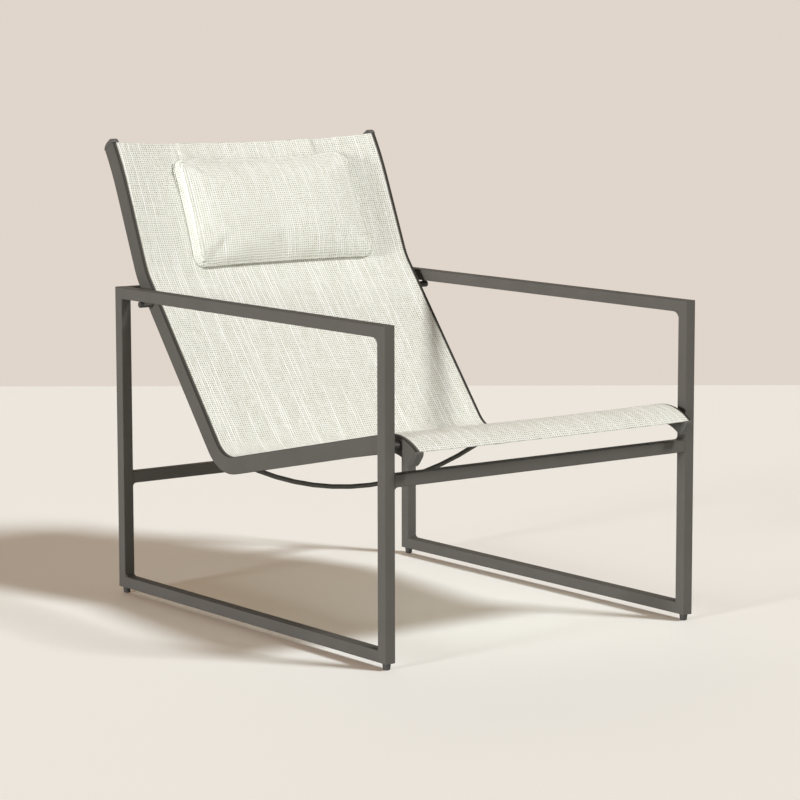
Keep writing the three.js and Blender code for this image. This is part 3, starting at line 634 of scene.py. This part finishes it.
def railLine():
    # Rows of y, z, heading and way
    shape = railShape
    line = [[0.0, 0.0, math.radians(shape["noseDrop"]), 0.0]]

    def straight(length):
        steps = math.ceil(length / shape["straightStep"])
        y, z, heading, way = line[-1]
        for k in range(1, steps + 1):
            part = length * k / steps
            line.append([y + part * math.cos(heading), z + part * math.sin(heading), heading, way + part])

    def bend(radius, heading):
        y, z, start, way = line[-1]
        side = radius if heading > start else -radius
        steps = math.ceil(radius * abs(heading - start) / shape["bendStep"])
        for k in range(1, steps + 1):
            angle = start + (heading - start) * k / steps
            line.append([y + side * (math.sin(angle) - math.sin(start)),
                         z - side * (math.cos(angle) - math.cos(start)),
                         angle, way + side * (angle - start)])

    bend(shape["noseRadius"], -math.radians(shape["seatFall"]))
    straight(shape["seatLength"])
    bend(shape["hipRadius"], math.radians(90 - shape["lowerLean"]))
    straight(shape["lowerLength"])
    bend(shape["bendRadius"], math.radians(90 - shape["upperLean"]))
    straight(shape["upperLength"])
    bend(shape["headRadius"], math.radians(90 - shape["headLean"]))
    rows = np.array(line)
    nose = rows[:shape["noseRows"]]
    boltZ = np.interp(shape["noseToBolt"], nose[:, 0], nose[:, 1])
    rows[:, 0] += shape["boltY"] - shape["noseToBolt"]
    rows[:, 1] += shape["boltZ"] - boltZ
    return rows


rail = railLine()
railEnd = rail[-1, 3]


def onRail(way):
    # Middle of the rails there, its heading direction and the direction toward the sitter
    y, z, heading = (np.interp(way, rail[:, 3], rail[:, k]) for k in range(3))
    forward = Vector((0, math.cos(heading), math.sin(heading)))
    outward = Vector((0, -math.sin(heading), math.cos(heading)))
    return Vector((0, y, z)), forward, outward


slingCut = {
    "thickness": 0.0012,
    "lipStep": 0.0012,  # how far the rails' inner faces lie under their outer ones
    "gap": 0.0003,  # over the rails' inner faces
    "inset": 0.001,  # short of the rails' ends
    "sag": 0.022,
    "sagPlaces": (0, 0.12, 0.3, 0.44, 0.55, 0.72, 0.8, 1),
    "sagShares": (0.06, 0.14, 0.28, 0.3, 0.28, 0.3, 0.42, 1),
    "columns": 64,
    "edgeTurn": 0.0013,  # bend into the rail's groove
    "tuck": 0.0048,
    "ease": 0.0005,  # height of the soft lengthwise waves
    "waves": (62, 7),  # turns of them across and along, in radians a metre
    "waveFade": (0.05, 0.1, 0.04),  # toward the rails, the front and the top
    "hem": 0.02,
    "hemThickness": 0.001,
    "hemGap": 0.00006,
    "hemShort": 0.0025,  # of the rails' inner faces
    "hemCells": (6, 60),
    "seam": 0.0155,  # stitches this far from the end
    "seamShort": 0.002,
    "seamPoints": 80,
}
joinStep = 0.001  # points nearer to each other than this are left out
slingBack = railShape["depth"] / 2 - slingCut["lipStep"] + slingCut["gap"]
slingMiddle = slingBack + slingCut["thickness"] / 2
slingEnd = railEnd - slingCut["inset"]


def sagAt(way, x):
    depth = slingCut["sag"] * np.interp(way / railEnd, slingCut["sagPlaces"], slingCut["sagShares"])
    return depth * max(0.0, 1 - (x / railShape["innerX"]) ** 2)


def slingPoint(way, x, out):
    # A place over the rails' middle line, out from it and lowered by the sling's sag
    middle, _, outward = onRail(way)
    point = middle + outward * (out - sagAt(way, x))
    point.x = x
    return point


def waveAt(way, x):
    # The cloth's own soft waves, which fade toward the rails and the ends
    side, front, top = slingCut["waveFade"]
    across, along = slingCut["waves"]
    fade = min(1.0, (railShape["innerX"] - abs(x)) / side) if abs(x) < railShape["innerX"] else 0.0
    fade *= min(1.0, (way - slingCut["inset"]) / front, (slingEnd - way) / top)
    return slingCut["ease"] * max(fade, 0) * ripple(x * across, way * along, 4)


def slingNormal(way, x):
    _, forward, outward = onRail(way)
    step = 0.002
    across = slingPoint(way, x + step, slingMiddle) - slingPoint(way, x - step, slingMiddle)
    normal = across.cross(forward)
    return normal.normalized() if normal.dot(outward) > 0 else -normal.normalized()


def makeSling(material, thread):
    cut = slingCut
    turn, slot, tuck = cut["edgeTurn"], railShape["slotX"], cut["tuck"]
    inset, inner = cut["inset"], railShape["innerX"]
    ways = [w for w in rail[:, 3] if inset + joinStep < w < slingEnd - joinStep]
    over = np.linspace(slot - turn, inner + joinStep, 4)
    rows, places = [], []
    for way in [inset, *ways, slingEnd]:
        middle, _, outward = onRail(way)

        def edge(side):
            # From the groove, round the bend and over the rail
            found = [(slot, slingMiddle - turn - tuck, Vector((side, 0, 0)))]
            found.append((slot, slingMiddle - turn, Vector((side, 0, 0))))
            for angle in (30, 60):
                across, up = math.cos(math.radians(angle)), math.sin(math.radians(angle))
                normal = Vector((side * across, 0, 0)) + outward * up
                found.append((slot - turn * (1 - across), slingMiddle - turn * (1 - up), normal))
            return found + [(x, slingMiddle, outward) for x in over]

        path = [(-x, out, normal) for x, out, normal in edge(-1)]
        for x in np.linspace(-inner, inner, cut["columns"] + 1):
            normal = slingNormal(way, x) if abs(x) < inner - joinStep else outward
            path.append((x, slingMiddle + waveAt(way, x) - sagAt(way, x), normal))
        path += reversed(edge(1))
        row, spots = [], []
        walked = -slot - tuck - turn
        for x, out, normal in path:
            point = middle + outward * out
            point.x = x
            if row:
                walked += (point - row[-1][0]).length
            row.append((point, normal))
            spots.append((walked, way))
        rows.append(row)
        places.append(spots)
    sling = clothStrip("slingCloth", rows, places, cut["thickness"], material)
    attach(sling, "chair_frame")
    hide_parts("sling")

    # Hems: the cloth turned under at the front and at the top, and sewn
    extras = []
    half = inner - cut["hemShort"]
    thick, hemThick = cut["thickness"], cut["hemThickness"]
    behind = -(thick + hemThick) / 2 - cut["hemGap"]
    lines, columns = cut["hemCells"]

    def onCloth(way, x, out, side=1):
        return slingPoint(way, x, slingMiddle + waveAt(way, x) + out), slingNormal(way, x) * side

    for name, start, step in (("frontHem", inset, 1), ("topHem", slingEnd, -1)):
        xs = np.linspace(-half, half, columns + 1)
        hemWays = [start + step * part for part in np.linspace(0, cut["hem"], lines + 1)][::step]
        hemRows = [[onCloth(way, x, behind) for x in xs] for way in hemWays]
        hemPlaces = [[(x, way) for x in xs] for way in hemWays]
        extras.append(clothStrip(name, hemRows, hemPlaces, hemThick, material))
        way, reach = start + step * cut["seam"], half - cut["seamShort"]
        for label, out, side in (("", thick / 2, 1), ("Under", behind - hemThick / 2, -1)):
            path = [onCloth(way, x, out, side) for x in np.linspace(-reach, reach, cut["seamPoints"])]
            extras.append(stitchRow(name + "Stitches" + label, path, thread))
    for piece in extras:
        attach(piece, "chair_frame")


pillowCut = {
    "width": 0.428,
    "aside": 0.018,  # it hangs this far to the right
    "height": 0.224,
    "taper": 0.016,  # how much narrower the top is, as a share
    "fromTop": 0.0365,  # below the sling's top edge
    "over": 0.0028,  # its back over the sling's front
    "edge": 0.019,  # height of the front's side seams
    "slope": 0.015,  # how far in they lie
    "slopePower": 1.4,
    "rim": 0.006,  # height of the top and bottom seams
    "topRound": 0.024,  # reach over which the front falls to them
    "bottomRound": 0.034,
    "crown": 0.014,  # before it is filled
    "crownPowers": (3.2, 2.2),  # how late it falls across and along the back
    "dip": 0.0019,  # how much lower its back lies where no flap is under it
    "lift": 0.003,  # clears the head's bend when the pillow slides down
    "liftReach": 0.09,
    "besideFlap": (0.163, 0.178),  # from the middle
    "belowFlap": (0.118, 0.148),  # from the pillow's top
    "corner": 0.024,
    "waist": 0.004,
    "waistPower": 4,
    "cell": 0.0055,
    "frontWelt": 0.0006,
    "backWelt": 0.0009,
    "weltSides": 6,
    "weltOut": 0.4,  # of the seam, in radii
}
pillowFill = {
    "pressure": 2.0,
    "loose": 0.003,  # spare cloth, as a share
    "swell": 0.005,  # no point moves further
    "seamsHeld": 0.12,
    "mass": 0.25,
    "stiffness": 25,
    "bending": 0.4,
    "pinStiffness": 6,
    "quality": 6,
    "frames": 20,
}


def makePillow(material):
    cut = pillowCut
    halfWidth, halfHeight = cut["width"] / 2, cut["height"] / 2
    middleWay = slingEnd - cut["fromTop"] - halfHeight
    middle, forward, outward = onRail(middleWay)
    slingFront = slingBack + slingCut["thickness"]

    def drawnIn(share, other):
        power = cut["waistPower"]
        return cut["waist"] * math.copysign(share ** power, share) * (1 - min(1, other * other))

    def space(x, s, out):
        u, v = x / halfWidth, s / halfHeight
        across = cut["aside"] + (x - drawnIn(u, v)) * (1 - cut["taper"] * (1 + v))
        up = s - drawnIn(v, u)
        height = slingFront + cut["over"] + out - sagAt(middleWay + up, across)
        point = middle + outward * height + forward * up
        point.x = across
        return point

    def fullness(s):
        # 1 over most of the height, falling to 0 at the top and bottom seams
        reach = cut["topRound"] if s > 0 else cut["bottomRound"]
        return math.sin(math.pi / 2 * min(1.0, max(0.0, halfHeight - abs(s)) / reach))

    def step(value, low, high):
        share = min(1.0, max(0.0, (value - low) / (high - low)))
        return share * share * (3 - 2 * share)

    def backAt(x, s):
        beside = step(abs(x + cut["aside"]), *cut["besideFlap"])
        below = step(halfHeight - s, *cut["belowFlap"])
        above = step(s, halfHeight - cut["liftReach"], halfHeight)
        return cut["lift"] * above - cut["dip"] * max(beside, below)

    def frontAt(x, s):
        u, v = min(1, abs(x) / (halfWidth - cut["slope"])), min(1, abs(s) / halfHeight)
        side = cut["rim"] + (cut["edge"] - cut["rim"]) * fullness(s)
        powerAcross, powerAlong = cut["crownPowers"]
        return side + cut["crown"] * (1 - u ** powerAcross) * (1 - v ** powerAlong)

    def outline(x):
        # Reach of the pillow's height at x, with round corners
        inset, corner = halfWidth - abs(x), cut["corner"]
        if inset >= corner:
            return halfHeight
        return halfHeight - corner + math.sqrt(max(0, corner ** 2 - (corner - inset) ** 2))

    columns = round(cut["width"] / cut["cell"])
    inX = [halfWidth * (2 * k / columns - 1) for k in range(columns + 1)]
    lines = round(cut["height"] / cut["cell"])
    edges = round(cut["edge"] / cut["cell"])
    points, places, keys = [], [], {}

    def vertex(x, s, out, spot, key):
        if key not in keys:
            keys[key] = len(points)
            points.append(space(x, s, out))
            places.append(spot)
        return keys[key]

    def level(i, j, share):
        # Place over the flat pillow and height there, from its back (0) to its front (1)
        x = inX[i] * (1 - cut["slope"] / halfWidth * share ** cut["slopePower"])
        s = outline(inX[i]) * (2 * j / lines - 1)
        low, high = backAt(x, s), frontAt(x, s)
        return x, s, low + (high - low) * share

    # Front and back panels share their rims with the edge band
    def panel(side):
        grid = []
        for i in range(columns + 1):
            column = []
            for j in range(lines + 1):
                x, s, out = level(i, j, side)
                column.append(vertex(x, s, out, (x, s), (side, i, j)))
            grid.append(column)
        return grid

    front, back = panel(1), panel(0)
    rim = [(i, 0) for i in range(columns)] + [(columns, j) for j in range(lines)]
    rim += [(i, lines) for i in range(columns, 0, -1)] + [(0, j) for j in range(lines, 0, -1)]
    faces = []
    for i in range(columns):
        for j in range(lines):
            faces.append((front[i][j], front[i + 1][j], front[i + 1][j + 1], front[i][j + 1]))
            faces.append((back[i][j], back[i][j + 1], back[i + 1][j + 1], back[i + 1][j]))
    band = []
    for n, (i, j) in enumerate(rim):
        column = [back[i][j]]
        for k in range(1, edges):
            x, s, out = level(i, j, k / edges)
            column.append(vertex(x, s, out, (x + out, s), ("band", n, k)))
        band.append(column + [front[i][j]])
    for n in range(len(rim)):
        first, second = band[n], band[(n + 1) % len(rim)]
        for k in range(edges):
            faces.append((first[k], second[k], second[k + 1], first[k + 1]))
    pillow = meshObject("headrestPillow", points, faces, True, material, places)

    held = pillow.vertex_groups.new(name="held")
    held.add(sorted({v for column in back for v in column}), 1.0, "REPLACE")
    held.add(sorted({column[-1] for column in band}), pillowFill["seamsHeld"], "REPLACE")
    fillCloth(pillow, np.array([list(p) for p in points]))
    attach(pillow, "headrest")
    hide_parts("headrest_pillow")
    shape = np.zeros(len(pillow.data.vertices) * 3)
    pillow.data.vertices.foreach_get("co", shape)
    shape = shape.reshape(-1, 3)
    soft = pillow.modifiers.new("soft", "SUBSURF")
    soft.levels = soft.render_levels = 1

    # Seams along the front and back rims, each a fine welt
    for name, side, key in (("pillowSeam", front, "frontWelt"), ("pillowBackSeam", back, "backWelt")):
        line = shape[[side[i][j] for i, j in rim]]
        piece = seamWelt(name, [Vector(p) for p in line], Vector(line.mean(0)), cut[key], material)
        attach(piece, "headrest")
    print("pillow", len(points))


def fillCloth(piece, start):
    # Blows the cover up against its seams, then keeps each point within reach of where it began
    fill = pillowFill
    modifier = piece.modifiers.new("fill", "CLOTH")
    settings = modifier.settings
    settings.quality = fill["quality"]
    settings.mass = fill["mass"]
    settings.use_pressure = True
    settings.uniform_pressure_force = fill["pressure"]
    settings.effector_weights.gravity = 0
    settings.tension_stiffness = settings.compression_stiffness = fill["stiffness"]
    settings.bending_stiffness = fill["bending"]
    settings.vertex_group_mass = "held"
    settings.pin_stiffness = fill["pinStiffness"]
    settings.shrink_min = -fill["loose"]
    modifier.collision_settings.use_collision = False
    scene = bpy.context.scene
    scene.frame_start, scene.frame_end = 1, fill["frames"]
    modifier.point_cache.frame_start, modifier.point_cache.frame_end = 1, fill["frames"]
    for step in range(1, fill["frames"] + 1):
        scene.frame_set(step)
    evaluated = piece.evaluated_get(bpy.context.evaluated_depsgraph_get())
    moved = np.zeros(len(start) * 3)
    evaluated.data.vertices.foreach_get("co", moved)
    moved = moved.reshape(-1, 3) - start
    length = np.linalg.norm(moved, axis=1, keepdims=True)
    capped = moved * np.tanh(length / fill["swell"]) * fill["swell"] / np.maximum(length, 1e-9)
    piece.modifiers.remove(modifier)
    piece.data.vertices.foreach_set("co", (start + capped).ravel())
    piece.data.update()
    scene.frame_set(1)


def seamWelt(name, rim, centre, radius, material):
    # A thin closed welt round a rim of points
    points, faces, places = [], [], []
    count, sides = len(rim), pillowCut["weltSides"]
    walked, out = 0.0, pillowCut["weltOut"]
    for n, place in enumerate(rim):
        along = (rim[(n + 1) % count] - rim[n - 1]).normalized()
        away = place - centre
        away = (away - along * away.dot(along)).normalized()
        up = along.cross(away).normalized()
        walked += (place - rim[n - 1]).length if n else 0
        for s in range(sides):
            turn = 2 * math.pi * s / sides
            points.append(place + (away * (math.cos(turn) + out) + up * math.sin(turn)) * radius)
            places.append((walked, s * radius))
    for n in range(count):
        m = (n + 1) % count
        for s in range(sides):
            t = (s + 1) % sides
            faces.append((n * sides + s, m * sides + s, m * sides + t, n * sides + t))
    return meshObject(name, points, faces, True, material, places)


flapCut = {
    "width": 0.32,
    "thickness": 0.001,
    "gap": 0.0006,
    "tuck": 0.07,  # reach behind the pillow
    "hang": 0.095,  # behind the sling
    "curved": 0.35,
    "columns": 48,
    "turnSteps": 8,
    "hangSteps": 15,
}


def topEdge(x):
    middle, _, outward = onRail(slingEnd)
    point = middle + outward * (slingMiddle - sagAt(slingEnd, x))
    point.x = x
    return point


def makeFlap(material, thread):
    cut = flapCut
    half = cut["width"] / 2
    xs = np.linspace(-half, half, cut["columns"] + 1)
    first = slingEnd - pillowCut["fromTop"] - cut["tuck"]
    lift = slingCut["thickness"] / 2 + cut["gap"] + cut["thickness"] / 2
    rows, places = [], []
    walked = 0.0

    def add(makePoint, makeNormal, step):
        nonlocal walked
        walked += step
        rows.append([(makePoint(x), makeNormal(x)) for x in xs])
        places.append([(x, walked) for x in xs])

    ways = [w for w in rail[:, 3] if first + joinStep < w < slingEnd - joinStep]
    for before, way in zip([first, first, *ways], [first, *ways, slingEnd]):
        add(lambda x, w=way: slingPoint(w, x, slingMiddle + lift + waveAt(w, x)),
            lambda x, w=way: slingNormal(w, x), way - before)
    _, forward, outward = onRail(slingEnd)
    top = math.atan2(forward.z, forward.y) + math.pi / 2
    steps = cut["turnSteps"]
    for k in range(1, steps + 1):
        turn = top * (1 - k / steps)
        normal = Vector((0, math.cos(turn), math.sin(turn)))
        add(lambda x, n=normal: topEdge(x) + n * lift, lambda x, n=normal: n, top / steps * lift)
    straight = topEdge(0)
    for share in np.linspace(0, 1, cut["hangSteps"] + 1)[1:]:
        def place(x, t=share):
            hem = straight.copy()
            hem.x = x
            hem.z -= cut["hang"]
            point = topEdge(x).lerp(hem, t)
            settle = min(1.0, t / cut["curved"])
            point.y = topEdge(x).y * (1 - settle) + straight.y * settle
            point.y += lift
            return point
        add(place, lambda x: Vector((0, 1, 0)), cut["hang"] / cut["hangSteps"])
    flap = clothStrip("headrestFlap", rows, places, cut["thickness"], material)
    stitches = []
    for side, k in (("Left", 1), ("Right", cut["columns"] - 1)):
        path = [(row[k][0] + row[k][1] * (cut["thickness"] / 2), row[k][1]) for row in rows]
        stitches.append(stitchRow("flapStitches" + side, path, thread))
    for piece in (flap, *stitches):
        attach(piece, "chair_frame")
    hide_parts("headrest_flap")
    print("flap", round(walked, 4))


pocketCut = {
    "thickness": 0.001,
    "fromTop": 0.13,
    "height": 0.034,
    "depth": 0.0056,
    "tail": 0.082,
    "behind": 0.0033,  # middle of the tail behind the sling's top edge
    "pinch": 0.012,
    "pinched": 0.16,  # how thick its ends stay, as a share
    "fullness": (0.55, 0.6),  # powers that square its section, across and up
    "mouth": (0.0006, 0.002),  # where the tail runs into it, from its top
    "closing": (-0.0007, -0.0006),  # where it comes back
    "ends": 0.02,  # stretch of the finer columns
    "endColumns": 8,
    "columns": 28,
    "tailSteps": 14,
    "steps": 26,
    "seamUp": 0.004,
    "seamOver": 0.0002,
    "seamShort": 0.003,
    "seamPoints": 60,
}


def makePocket(material, thread):
    cut = pocketCut
    half = flapCut["width"] / 2
    edge = topEdge(0)
    y = edge.y + cut["behind"]
    top = edge.z - cut["fromTop"]
    wall = cut["thickness"] / 2
    fine = np.linspace(half - cut["ends"], half, cut["endColumns"])
    between = np.linspace(cut["ends"] - half, half - cut["ends"], cut["columns"] + 2)[1:-1]
    xs = np.concatenate([-fine[::-1], between, fine])
    deep = cut["depth"] / 2 + wall
    tall = cut["height"] / 2 - wall

    def path(x):
        # Down the tail, round the weight and back up to the seam, with its outward normals
        inward = min(1.0, (half - abs(x)) / cut["pinch"])
        reach = deep * (cut["pinched"] + (1 - cut["pinched"]) * math.sin(inward * math.pi / 2))
        tail, steps = cut["tailSteps"], cut["steps"]
        found = [(0.0, top + cut["tail"] * (1 - k / tail)) for k in range(tail - 1)]
        powerAcross, powerUp = cut["fullness"]
        for k in range(steps + 1):
            turn = 2 * math.pi * k / steps
            across, up = math.sin(turn), math.cos(turn)
            out = math.copysign(abs(across) ** powerAcross, across) * reach
            high = math.copysign(abs(up) ** powerUp, up) * tall
            if k in (0, steps):
                out, over = cut["closing"] if k else cut["mouth"]
                high = tall + over
            found.append((out, top - cut["height"] / 2 + high))
        return found

    rows, places = [], []
    lines = [path(x) for x in xs]
    count = len(lines[0])
    walked = [0.0]
    for k in range(1, count):
        a, b = lines[len(xs) // 2][k - 1], lines[len(xs) // 2][k]
        walked.append(walked[-1] + math.hypot(b[0] - a[0], b[1] - a[1]))
    for k in range(count):
        row = []
        for x, line in zip(xs, lines):
            before, after = line[max(k - 1, 0)], line[min(k + 1, count - 1)]
            along = Vector((0, after[0] - before[0], after[1] - before[1])).normalized()
            normal = Vector((0, -along.z, along.y))
            row.append((Vector((x, y + line[k][0], line[k][1])), normal))
        rows.append(row)
        places.append([(x, walked[k]) for x in xs])
    pocket = clothStrip("weightPocket", rows, places, cut["thickness"], material)
    reach = half - cut["seamShort"]
    seam = [(Vector((x, y + wall + cut["seamOver"], top + cut["seamUp"])), Vector((0, 1, 0)))
            for x in np.linspace(-reach, reach, cut["seamPoints"])]
    stitches = [stitchRow("pocketStitches", seam, thread)]
    for piece in (pocket, *stitches):
        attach(piece, "counterweight")
    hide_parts("weight_pocket")
    print("pocket", round(walked[-1], 4))


# Finishes and shading of the frame's own solids
finishOf = {
    "framePaint": ("arm", "leg", "runner", "crossbar"),
    "railPaint": ("sling_rail", "back_rod", "bow_bar"),
    "capPlastic": ("cap",),
    "blackPlastic": ("rod_plug", "spacer"),
    "footNylon": ("foot",),
    "cordPlastic": ("cord",),
    "zincPlate": ("bolt", "nut", "screw", "weight_bar"),
}
smoothLimit = 50  # degrees, past which an edge stays sharp


def smoothShading(node):
    # Corner normals averaged over near-level neighbours by area, so flats stay flat and bends look round
    mesh = node.data
    count = len(mesh.loops)
    corner = np.zeros(count, np.int32)
    mesh.loops.foreach_get("vertex_index", corner)
    place = np.zeros(len(mesh.vertices) * 3)
    mesh.vertices.foreach_get("co", place)
    _, same = np.unique(np.round(place.reshape(-1, 3) * 1e6).astype(np.int64), axis=0, return_inverse=True)
    same = same.ravel()[corner]
    face = np.zeros(count, np.int32)
    normals = np.zeros((len(mesh.polygons), 3))
    areas = np.zeros(len(mesh.polygons))
    for polygon in mesh.polygons:
        face[polygon.loop_start:polygon.loop_start + polygon.loop_total] = polygon.index
        normals[polygon.index] = polygon.normal
        areas[polygon.index] = polygon.area
    groups = {}
    for loop, key in enumerate(same.tolist()):
        groups.setdefault(key, []).append(loop)
    limit = math.cos(math.radians(smoothLimit))
    result = np.zeros((count, 3))
    for loops in groups.values():
        near = normals[face[loops]]
        close = (near @ near.T > limit) * areas[face[loops]]
        result[loops] = close @ near
    result /= np.maximum(np.linalg.norm(result, axis=1, keepdims=True), 1e-12)
    mesh.polygons.foreach_set("use_smooth", [True] * len(mesh.polygons))
    mesh.normals_split_custom_set([tuple(n) for n in result])


def finishNodes(finishes):
    for name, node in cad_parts.items():
        if node.hide_render:
            continue
        for finish, words in finishOf.items():
            if any(name.endswith(word) or word + "_" in name for word in words):
                chosen = finish
        node.data.materials.clear()
        node.data.materials.append(finishes[chosen])
        smoothShading(node)


makeCamera()
makeLights()
makeWorld()
makeFloor()
print("camera, lights and floor made")

weave = makeMeshWeave()
grain = makePowderGrain()
slingMesh = clothMaterial("slingMesh", weave, paintGrooveShade=True)
pillowMesh = clothMaterial("pillowMesh", weave, tint=1.05)
thread = threadMaterial()
makeSling(slingMesh, thread)
makePillow(pillowMesh)
makeFlap(pillowMesh, thread)
makePocket(pillowMesh, thread)
finishes = {name: paintMaterial(name, grain) for name in paintLooks}
finishes.update({name: plasticMaterial(name, grain) for name in plasticLooks})
finishes["zincPlate"] = zincMaterial(grain)
finishNodes(finishes)
print("finishes set")

bpy.context.scene.view_settings.view_transform = "Standard"
